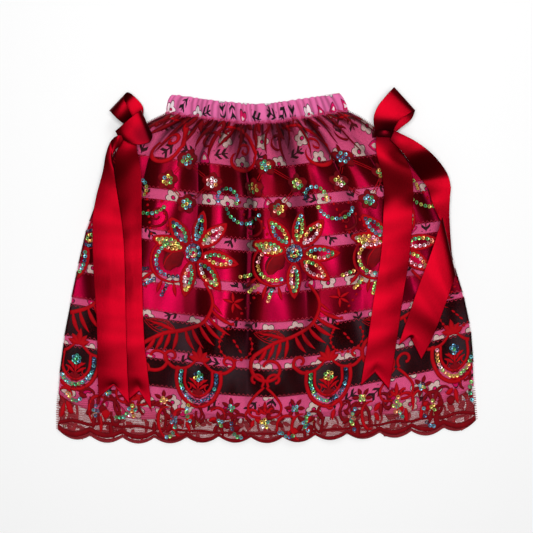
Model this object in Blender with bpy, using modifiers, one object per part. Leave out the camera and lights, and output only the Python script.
"""Ribbon skirt for a small child, laid flat: gathered cotton body, satin ribbon stripes,
an overskirt of embroidered tulle and a satin bow at each side.

Tables and sizes are in millimetres, and points become metres when a mesh is made.
+X runs across the front to the right, +Y up to the waist and +Z up off the table.
"""

import math
from collections import namedtuple

import bpy
from mathutils import Vector
from mathutils.bvhtree import BVHTree

MM = 0.001

# Walls and the gap that parts two layers
WALL = 1.0
GAP = 0.3
LAYER = WALL + GAP
BAND_WALL = 2.4

# Heights of the layers, from the table up
BACK_COTTON_Z = 2 * LAYER + WALL / 2
MIDDLE_Z = BACK_COTTON_Z + WALL / 2 + GAP / 2
FRONT_COTTON_Z = MIDDLE_Z + GAP / 2 + WALL / 2
BACK_LACE_Z = WALL / 2
FRONT_LACE_HEM_Z = WALL + GAP + WALL / 2

# Points across a panel
MAIN_COLUMNS = 32
GATHER_COLUMNS = 96
BACK_COLUMNS = 16

# Side folds: how far the outer layers reach round, as shares of their distance from the cotton.
# SIDE_STEP puts the outermost point past the panel's end in its row.
LIP_RISE = 0.4
SHOULDER_OUT = 0.6
SHOULDER_RISE = 0.85
SIDE_STEP = 0.002

# Gathers under the waist seam
GATHERS = 20
GATHER_HEIGHT = 4.5
GATHER_REACH = 52.0
GATHER_FADE_POWER = 1.3
GATHER_DRIFT = 0.007
DRIFT_WAVES = 3.5
DRIFT_START = 1.0

# Waistband
BAND_WAVES = 27
BAND_COLUMNS = 108
BAND_WAVE_HEIGHT = 2.2
BAND_CROWN = 3.0
BAND_TOP_WAVE = 0.8
BAND_BACK_Z = BAND_WALL / 2
BAND_FRONT_Z = BAND_WALL * 1.5 + GAP

# Scalloped edge of the lace
SCALLOPS = 13
SCALLOP_COLUMNS = 104
SCALLOP_DEPTH = 8.0
SCALLOP_POWER = 0.8

SAG_POWER = 1.25
BACK_POWER = 6

Level = namedtuple("Level", "name centre_y left_x left_y right_x right_y back_drop")

# One row for each cross line of the skirt, from the waist seam down
LEVELS = (
    Level("seam", 180, -126, 194, 102, 197, 15),
    Level("yoke_1", 168, -142, 187, 118, 190, 17),
    Level("yoke_2", 155, -160, 177, 136, 178, 19),
    Level("yoke_3", 140, -177, 163, 153, 164, 21),
    Level("ribbon_1_top", 126, -192, 146, 170, 147, 22),
    Level("ribbon_1_bottom", 87, -207, 107, 199, 109, 24),
    Level("ribbon_2_top", 74, -211, 94, 206, 97, 25),
    Level("ribbon_2_bottom", 33, -224, 58, 223, 58, 27),
    Level("ribbon_3_top", 19, -228, 47, 227, 46, 28),
    Level("ribbon_3_bottom", -22, -238, 4, 236, 9, 30),
    Level("ribbon_4_top", -33, -240, -6, 239, -3, 30),
    Level("ribbon_4_bottom", -71, -247, -39, 248, -32, 31),
    Level("ribbon_5_top", -80, -248, -47, 250, -39, 32),
    Level("ribbon_5_bottom", -119, -256, -88, 257, -72, 34),
    Level("ribbon_6_top", -130, -257, -98, 259, -83, 34),
    Level("ribbon_6_bottom", -166, -262, -135, 262, -121, 36),
    Level("hem", -194, -264, -161, 263, -151, 37),
)
LACE_MIDDLE = Level("lace_middle", -206, -266, -186, 265, -175, 24)
LACE_EDGE = Level("lace_edge", -217, -266, -208, 267, -196, 13)

RIBBONS = (
    ("ribbon_1_top", "ribbon_1_bottom", "magenta"),
    ("ribbon_2_top", "ribbon_2_bottom", "magenta"),
    ("ribbon_3_top", "ribbon_3_bottom", "magenta"),
    ("ribbon_4_top", "ribbon_4_bottom", "magenta"),
    ("ribbon_5_top", "ribbon_5_bottom", "black"),
    ("ribbon_6_top", "ribbon_6_bottom", "black"),
)

Fold = namedtuple("Fold", "top_u hem_u crest left right height reach")

# The front's long soft folds, from the left side to the right: where the crest runs at the seam
# and at the hem, the half width of its flat top, and how far it slopes down to each side
FOLDS = (
    Fold(0.065, 0.07, 0.020, 0.060, 0.050, 5.0, 300),
    Fold(0.190, 0.19, 0.026, 0.060, 0.100, 8.0, 370),
    Fold(0.335, 0.40, 0.024, 0.040, 0.058, 9.0, 380),
    Fold(0.520, 0.50, 0.024, 0.040, 0.092, 10.0, 400),
    Fold(0.690, 0.63, 0.020, 0.040, 0.090, 9.0, 360),
    Fold(0.820, 0.80, 0.024, 0.044, 0.070, 7.5, 330),
    Fold(0.930, 0.93, 0.018, 0.040, 0.040, 5.0, 330),
)
CROWN_WAIST = 5.0
CROWN_HEM = 1.0
SIDE_FADE = 0.05
SKIRT_LENGTH = LEVELS[0].centre_y - LEVELS[-1].centre_y

Section = namedtuple("Section", "x1 y1 x2 y2 rise1 rise2")

# Sections of each bow ribbon: its two edges in plan, and each edge's rise above what it lies on
LEFT_TAIL_INNER = (
    Section(-184, 157, -168, 157, 0, 0),
    Section(-189, 145, -163, 147, 2, 7),
    Section(-191, 126, -159, 128, 1, 9),
    Section(-191, 103, -157, 106, 1, 9),
    Section(-190, 65, -157, 68, 0, 7),
    Section(-188, 8, -157, 10, 0, 3),
    Section(-186, -81, -155, -81, 0, 0),
    Section(-182, -130, -150, -133, 0, 0),
    Section(-177, -172, -145, -184, 0, 0),
)
LEFT_TAIL_OUTER = (
    Section(-178, 164, -184, 152, 1, 1),
    Section(-187, 164, -190, 146, 6, 3),
    Section(-196, 157, -194, 136, 5, 7),
    Section(-202, 141, -192, 122, 2, 8),
    Section(-206, 119, -189, 100, 2, 7),
    Section(-214, 90, -185, 75, 1, 5),
    Section(-219, 60, -181, 47, 1, 3),
    Section(-219, 30, -179, 20, 0.5, 1),
    Section(-218, -8, -178, -14, 0, 0),
    Section(-214, -72, -177, -76, 0, 0),
    Section(-213, -135, -175, -139, 0, 0),
    Section(-212, -166, -173, -174, 0, 0),
)
LEFT_FOLD = (
    Section(-162, 187, -150, 168, 0, 0),
    Section(-157, 195, -144, 166, 4, 4),
    Section(-160, 194.5, -146, 157, 9, 9),
    Section(-172, 185, -158, 153, 11.5, 11.5),
    Section(-183, 175.5, -172, 155, 11, 11),
    Section(-190, 170, -186, 163, 8, 8),
)
LEFT_LOOP = (
    Section(-170, 181, -158, 186, 0, 0),
    Section(-184, 189, -157, 203, 5, 7),
    Section(-195, 195, -169, 217, 9, 10),
    Section(-199, 197, -176, 220, 14, 16),
    Section(-196, 194.5, -179.5, 213, 19, 21.5),
    Section(-190, 188, -176, 203, 19, 22),
    Section(-184, 183, -171, 193, 15, 17),
    Section(-179, 180, -168, 186, 9, 10),
)
RIGHT_TAIL_INNER = (
    Section(137, 164, 160, 163, 0, 0),
    Section(138, 145, 172, 141, 5, 4),
    Section(145, 118, 181, 119, 1, 9),
    Section(148, 94, 184, 95, 3, 9),
    Section(147, 66, 184, 69, 7, 2),
    Section(144, 14, 181, 18, 3, 0),
    Section(135, -43, 172, -41, 0, 0),
    Section(127, -100, 164, -99, 0, 0),
    Section(119, -152, 155, -157, 0, 0),
)
RIGHT_TAIL_OUTER = (
    Section(157, 161, 164, 171, 0, 4),
    Section(168, 147, 185, 158, 2, 10),
    Section(181, 131, 209, 140, 2, 10),
    Section(195, 113, 227, 120, 1, 8),
    Section(205, 98, 233, 102, 2, 6),
    Section(209, 84, 232, 85, 3, 5),
    Section(214, 70, 231.5, 58, 4.5, 5),
    Section(220, 59.5, 236, -4, 5, 5),
    Section(222, 60, 239, -11, 6.5, 6.5),
    Section(220, 58, 237, -13, 8, 8),
    Section(208, 20, 229, -37, 7, 7),
    Section(192, -24, 219, -66, 4, 4),
    Section(178, -66, 208, -94, 1, 1),
    Section(167, -100, 196, -118, 0, 0),
)
RIGHT_KNOT = (
    Section(134, 171, 134, 163, 0, 0),
    Section(140, 172.5, 140, 163, 4, 3.5),
    Section(150, 172.5, 150, 163, 6, 5.5),
    Section(160, 170.5, 160, 162.5, 4, 4),
    Section(165, 168, 165, 161.5, 0, 0),
)
RIGHT_LOOP = (
    Section(141, 171, 160, 168, 0, 0),
    Section(146, 186, 172, 177, 3, 3),
    Section(158, 208, 183, 186, 7, 5),
    Section(161, 224.5, 187, 196, 13, 11),
    Section(152, 218, 181, 193.5, 18, 16.5),
    Section(139, 202, 169, 187, 19, 17.5),
    Section(134, 186, 162, 177, 15, 14),
    Section(136, 173, 159, 169, 8, 8),
)
SWALLOW_NOTCH = 20.0
STRIP_STEP = 2
STRIP_ACROSS = 3

# Where a strip feels for what is under it: half way to the next section, and just past both edges
BETWEEN_SECTIONS = (0.0, 0.5, 1.0)
ACROSS_SECTION = (-0.05, 0.12, 0.3, 0.5, 0.7, 0.88, 1.05)
ALONG_EDGE = (0.0, 0.25, 0.5, 0.75, 1.0)
RAY_START = 1.0


def clear_scene():
    for obj in list(bpy.data.objects):
        bpy.data.objects.remove(obj, do_unlink=True)


def make_collection(name):
    collection = bpy.data.collections.new(name)
    bpy.context.scene.collection.children.link(collection)
    return collection


def make_material(name, colour, roughness):
    material = bpy.data.materials.new(name)
    material.use_nodes = True
    shader = material.node_tree.nodes["Principled BSDF"]
    shader.inputs["Base Color"].default_value = (*colour, 1.0)
    shader.inputs["Roughness"].default_value = roughness
    shader.inputs["Metallic"].default_value = 0.0
    return material


def smooth_step(value):
    value = min(max(value, 0.0), 1.0)
    return value * value * (3 - 2 * value)


def spread(count):
    return [i / count for i in range(count + 1)]


def level_named(name):
    return next(level for level in LEVELS if level.name == name)


def fold_height(u, depth):
    """How high the front cloth stands over its lowest place, depth mm below the seam."""
    share = min(max(depth / SKIRT_LENGTH, 0.0), 1.0)
    across = 2 * u - 1
    height = (CROWN_WAIST + (CROWN_HEM - CROWN_WAIST) * share) * (1 - across**4)
    ridge = 0.0
    for fold in FOLDS:
        fade = max(0.0, 1 - (depth / fold.reach) ** 2)
        aside = u - (fold.top_u + (fold.hem_u - fold.top_u) * share)
        slope = fold.left if aside < 0 else fold.right
        ridge = max(ridge, fold.height * fade * smooth_step(1 - (abs(aside) - fold.crest) / slope))
    height += ridge
    reach = max(0.0, 1 - depth / GATHER_REACH)
    drift = GATHER_DRIFT * math.sin(2 * math.pi * DRIFT_WAVES * u + DRIFT_START)
    wave = 0.5 - 0.5 * math.cos(2 * math.pi * GATHERS * (u + drift))
    height += GATHER_HEIGHT * reach**GATHER_FADE_POWER * wave
    return height * smooth_step(min(u, 1 - u) / SIDE_FADE)


def front_y(level, u):
    across = 2 * u - 1
    side_y = level.left_y if across < 0 else level.right_y
    return level.centre_y + (side_y - level.centre_y) * abs(across) ** SAG_POWER


def back_y(level, u):
    across = 2 * u - 1
    side_y = level.left_y + (level.right_y - level.left_y) * u
    return side_y - level.back_drop * (1 - abs(across) ** BACK_POWER)


def level_x(level, u):
    return level.left_x + (level.right_x - level.left_x) * u


def front_point(level, u):
    depth = LEVELS[0].centre_y - level.centre_y
    return Vector((level_x(level, u), front_y(level, u), FRONT_COTTON_Z + fold_height(u, depth)))


def back_point(level, u):
    return Vector((level_x(level, u), back_y(level, u), BACK_COTTON_Z))


def lift_direction(levels, index, u, point_at, step):
    """Half way between the cloth's own normal and the vertical, so no layer crosses a fold."""
    above = levels[max(index - 1, 0)]
    below = levels[min(index + 1, len(levels) - 1)]
    left = point_at(levels[index], max(u - step, 0.0))
    right = point_at(levels[index], min(u + step, 1.0))
    normal = (right - left).cross(point_at(above, u) - point_at(below, u)).normalized()
    return (normal + Vector((0, 0, 1))).normalized()


def side_direction(levels, index, u, point_at):
    """The way out of the skirt in plan, at the side u = 0 or 1."""
    sign = -1 if u < 0.5 else 1
    if index == 0:
        return Vector((sign, 0, 0))
    above = point_at(levels[index - 1], u)
    below = point_at(levels[min(index + 1, len(levels) - 1)], u)
    along = above - below
    return Vector((sign * abs(along.y), abs(along.x), 0)).normalized()


def panel_row(levels, index, columns, distance, point_at, face):
    """Points of one row of a panel, distance mm outside the cotton; face is 1 in front, -1 behind."""
    level = levels[index]
    row = []
    for u in spread(columns):
        point = point_at(level, u)
        if 0 < u < 1:
            direction = lift_direction(levels, index, u, point_at, 1 / columns)
            if face < 0:
                direction = Vector((0, 0, -1))
            row.append((u, point + direction * distance))
        elif distance == 0:
            row.append((u, point))
        else:
            outward = side_direction(levels, index, u, point_at)
            lip = Vector((point.x, point.y, MIDDLE_Z + face * LIP_RISE)) + outward * distance
            shoulder = point + outward * distance * SHOULDER_OUT
            shoulder.z += face * distance * SHOULDER_RISE
            if u == 0:
                row += [(u - SIDE_STEP, lip), (u, shoulder)]
            else:
                row += [(u, shoulder), (u + SIDE_STEP, lip)]
    return row


def zip_rows(upper, lower, upper_start, lower_start):
    """Triangles between two rows of unlike counts, always taking the nearer next point."""
    faces = []
    i = j = 0
    while i < len(upper) - 1 or j < len(lower) - 1:
        next_upper = upper[i + 1][0] if i < len(upper) - 1 else math.inf
        next_lower = lower[j + 1][0] if j < len(lower) - 1 else math.inf
        if next_upper <= next_lower:
            faces.append((upper_start + i, lower_start + j, upper_start + i + 1))
            i += 1
        else:
            faces.append((upper_start + i, lower_start + j, lower_start + j + 1))
            j += 1
    return faces


def cloth_object(name, rows, wall, material, collection, flip=False):
    """One open surface through the rows, given its wall by Solidify."""
    points = [point * MM for row in rows for _, point in row]
    faces = []
    start = 0
    for upper, lower in zip(rows, rows[1:]):
        faces += zip_rows(upper, lower, start, start + len(upper))
        start += len(upper)
    if flip:
        faces = [face[::-1] for face in faces]
    mesh = bpy.data.meshes.new(name)
    mesh.from_pydata(points, [], faces)
    mesh.shade_smooth()
    mesh.materials.append(material)
    obj = bpy.data.objects.new(name, mesh)
    collection.objects.link(obj)
    solidify = obj.modifiers.new("Wall", "SOLIDIFY")
    solidify.thickness = wall * MM
    solidify.offset = 0.0
    return obj


def panel_columns(level, main):
    """Columns of a row; the front's gathered rows above the first ribbon are finer."""
    gathered = LEVELS.index(level) < LEVELS.index(level_named("ribbon_1_top"))
    return GATHER_COLUMNS if gathered and main == MAIN_COLUMNS else main


def make_cotton(face, material, collection):
    front = face > 0
    point_at = front_point if front else back_point
    main = MAIN_COLUMNS if front else BACK_COLUMNS
    rows = [
        panel_row(LEVELS, index, panel_columns(level, main), 0, point_at, face)
        for index, level in enumerate(LEVELS)
    ]
    name = "cotton_front" if front else "cotton_back"
    return cloth_object(name, rows, WALL, material, collection, flip=not front)


def make_ribbon(number, face, material, collection):
    """A stripe sewn on the cotton: the panel's own points, one layer out."""
    front = face > 0
    point_at = front_point if front else back_point
    main = MAIN_COLUMNS if front else BACK_COLUMNS
    top_name, bottom_name, _ = RIBBONS[number]
    rows = [
        panel_row(LEVELS, LEVELS.index(level_named(name)), main, LAYER, point_at, face)
        for name in (top_name, bottom_name)
    ]
    side = "front" if front else "back"
    return cloth_object(f"ribbon_{side}_{number + 1}", rows, WALL, material, collection, flip=not front)


def scallop(u):
    return SCALLOP_DEPTH * abs(math.sin(math.pi * SCALLOPS * u)) ** SCALLOP_POWER


def lace_hem_row(level, columns, scalloped, face):
    """A row of lace below the cotton, where it sinks onto what lies under it."""
    row = []
    y_at = front_y if face > 0 else back_y
    for u in spread(columns):
        y = y_at(level, u) - (scallop(u) if scalloped else 0)
        x = level_x(level, u)
        z = BACK_LACE_Z
        if face > 0:
            z = FRONT_LACE_HEM_Z if scalloped else FRONT_COTTON_Z
        point = Vector((x, y, z))
        if u in (0, 1):
            sign = -1 if u == 0 else 1
            row.append((u + sign * SIDE_STEP, point + Vector((sign * 2 * LAYER, 0, 0))))
        row.append((u, point))
    row.sort(key=lambda pair: pair[0])
    return row


def make_lace(face, material, collection):
    front = face > 0
    point_at = front_point if front else back_point
    main = MAIN_COLUMNS if front else BACK_COLUMNS
    rows = [
        panel_row(LEVELS, index, panel_columns(level, main), 2 * LAYER, point_at, face)
        for index, level in enumerate(LEVELS)
    ]
    rows.append(lace_hem_row(LACE_MIDDLE, main, False, face))
    rows.append(lace_hem_row(LACE_EDGE, SCALLOP_COLUMNS, True, face))
    name = "lace_front" if front else "lace_back"
    return cloth_object(name, rows, WALL, material, collection, flip=not front)


BandLine = namedtuple("BandLine", "centre_y left_x left_y right_x right_y back_drop puff")
SEAM_GAP = 0.5

# Lines of the elastic casing, from its top fold down to just above the seam
BAND_LINES = (
    BandLine(206, -119, 218, 91, 220, 14, 0.35),
    BandLine(199, -124, 212, 96, 215, 15, 1.0),
    BandLine(188, -126, 203, 101, 205, 15, 0.8),
    BandLine(180 + SEAM_GAP, -126, 194 + SEAM_GAP, 102, 197 + SEAM_GAP, 15, 0.3),
)


def make_waistband(face, material, collection):
    front = face > 0
    columns = BAND_COLUMNS if front else BACK_COLUMNS
    rows = []
    for line in BAND_LINES:
        row = []
        for u in spread(columns):
            wave = 0.5 - 0.5 * math.cos(2 * math.pi * BAND_WAVES * u)
            edge = smooth_step(min(u, 1 - u) / SIDE_FADE)
            y = front_y(line, u) if front else back_y(line, u)
            z = BAND_BACK_Z
            if front:
                puff = BAND_WAVE_HEIGHT * wave + BAND_CROWN
                z = BAND_FRONT_Z + puff * line.puff * edge
                y += BAND_TOP_WAVE * wave * edge if line is BAND_LINES[0] else 0
            row.append((u, Vector((level_x(line, u), y, z))))
        rows.append(row)
    name = "waistband_front" if front else "waistband_back"
    return cloth_object(name, rows, BAND_WALL, material, collection, flip=not front)


def catmull(before, start, end, after, share):
    square = share * share
    cube = square * share
    return 0.5 * (
        2 * start
        + (end - before) * share
        + (2 * before - 5 * start + 4 * end - after) * square
        + (3 * start - before - 3 * end + after) * cube
    )


def smooth_sections(sections, step):
    """Sections read from a smooth curve through the table's own rows."""
    fine = []
    last = len(sections) - 1
    for i in range(last):
        rows = [sections[max(i - 1, 0)], sections[i], sections[i + 1], sections[min(i + 2, last)]]
        for k in range(step):
            fine.append(Section(*[catmull(*values, k / step) for values in zip(*rows)]))
    fine.append(sections[last])
    return fine


def top_of(trees, x, y):
    """Height in mm of the highest surface under a place, 0 on the bare table."""
    highest = 0.0
    for tree in trees:
        hit = tree.ray_cast(Vector((x * MM, y * MM, RAY_START)), Vector((0, 0, -1)))[0]
        if hit is not None:
            highest = max(highest, hit.z / MM)
    return highest


def resting_height(trees, sections, index):
    """The highest cloth under a section and half way to each neighbour, past both edges."""
    heights = []
    for other in (max(index - 1, 0), index, min(index + 1, len(sections) - 1)):
        for share in BETWEEN_SECTIONS:
            here, there = sections[index], sections[other]
            x1 = here.x1 + (there.x1 - here.x1) * share
            y1 = here.y1 + (there.y1 - here.y1) * share
            x2 = here.x2 + (there.x2 - here.x2) * share
            y2 = here.y2 + (there.y2 - here.y2) * share
            for across in ACROSS_SECTION:
                heights.append(top_of(trees, x1 + (x2 - x1) * across, y1 + (y2 - y1) * across))
    return max(heights)


def seat_drop(rows, trees):
    """How far a strip can sink before it is one gap above what is under it."""
    drops = []
    for upper, lower in zip(rows, rows[1:]):
        for (_, start), (_, end) in zip(upper, lower):
            for share in ALONG_EDGE:
                point = start.lerp(end, share)
                drops.append(point.z - WALL / 2 - GAP - top_of(trees, point.x, point.y))
    return max(0.0, min(drops))


def make_strip(name, sections, step, trees, material, collection, notch=0.0):
    """A bow ribbon through its sections, laid on whatever is under it."""
    fine = smooth_sections(sections, step)
    rows = []
    for index, section in enumerate(fine):
        base = resting_height(trees, fine, index) + GAP + WALL / 2
        row = []
        for k in range(STRIP_ACROSS):
            share = k / (STRIP_ACROSS - 1)
            x = section.x1 + (section.x2 - section.x1) * share
            y = section.y1 + (section.y2 - section.y1) * share
            z = base + section.rise1 + (section.rise2 - section.rise1) * share
            if notch and index == len(fine) - 1 and k == 1:
                y += notch
            row.append((share, Vector((x, y, z))))
        rows.append(row)
    drop = seat_drop(rows, trees)
    rows = [[(share, point - Vector((0, 0, drop))) for share, point in row] for row in rows]
    return cloth_object(name, rows, WALL, material, collection)


def surface_tree(obj):
    graph = bpy.context.evaluated_depsgraph_get()
    return BVHTree.FromObject(obj, graph)


def centre_on_table(objects):
    """Puts the middle of the outline over the origin and the lowest face on the table."""
    graph = bpy.context.evaluated_depsgraph_get()
    points = []
    for obj in objects:
        shape = obj.evaluated_get(graph).to_mesh()
        points += [vertex.co.copy() for vertex in shape.vertices]
        obj.evaluated_get(graph).to_mesh_clear()
    lowest = [min(point[axis] for point in points) for axis in range(3)]
    highest = [max(point[axis] for point in points) for axis in range(3)]
    shift = Vector((-(lowest[0] + highest[0]) / 2, -(lowest[1] + highest[1]) / 2, -lowest[2]))
    for obj in objects:
        for vertex in obj.data.vertices:
            vertex.co += shift


def main():
    clear_scene()
    collection = make_collection("ribbon_skirt")
    cotton = make_material("pink cotton", (0.80, 0.13, 0.36), 0.85)
    magenta = make_material("magenta satin", (0.60, 0.0, 0.10), 0.35)
    black = make_material("black satin", (0.03, 0.018, 0.02), 0.4)
    tulle = make_material("red embroidered tulle", (0.35, 0.01, 0.02), 0.8)
    red = make_material("red satin", (0.58, 0.0, 0.02), 0.35)
    satins = {"magenta": magenta, "black": black}

    pieces = []
    for face in (-1, 1):
        pieces.append(make_waistband(face, cotton, collection))
        pieces.append(make_cotton(face, cotton, collection))
        for number, ribbon in enumerate(RIBBONS):
            pieces.append(make_ribbon(number, face, satins[ribbon[2]], collection))
        pieces.append(make_lace(face, tulle, collection))

    bpy.context.view_layer.update()
    trees = [surface_tree(piece) for piece in pieces if "front" in piece.name]
    strips = (
        ("bow_left_tail_inner", LEFT_TAIL_INNER, STRIP_STEP, SWALLOW_NOTCH),
        ("bow_left_tail_outer", LEFT_TAIL_OUTER, STRIP_STEP, SWALLOW_NOTCH),
        ("bow_left_fold", LEFT_FOLD, STRIP_STEP, 0.0),
        ("bow_left_loop", LEFT_LOOP, STRIP_STEP, 0.0),
        ("bow_right_tail_inner", RIGHT_TAIL_INNER, STRIP_STEP, SWALLOW_NOTCH),
        ("bow_right_tail_outer", RIGHT_TAIL_OUTER, 1, SWALLOW_NOTCH),
        ("bow_right_knot", RIGHT_KNOT, STRIP_STEP, 0.0),
        ("bow_right_loop", RIGHT_LOOP, STRIP_STEP, 0.0),
    )
    for name, sections, step, notch in strips:
        strip = make_strip(name, sections, step, trees, red, collection, notch)
        bpy.context.view_layer.update()
        trees.append(surface_tree(strip))
        pieces.append(strip)
    centre_on_table(pieces)


main()
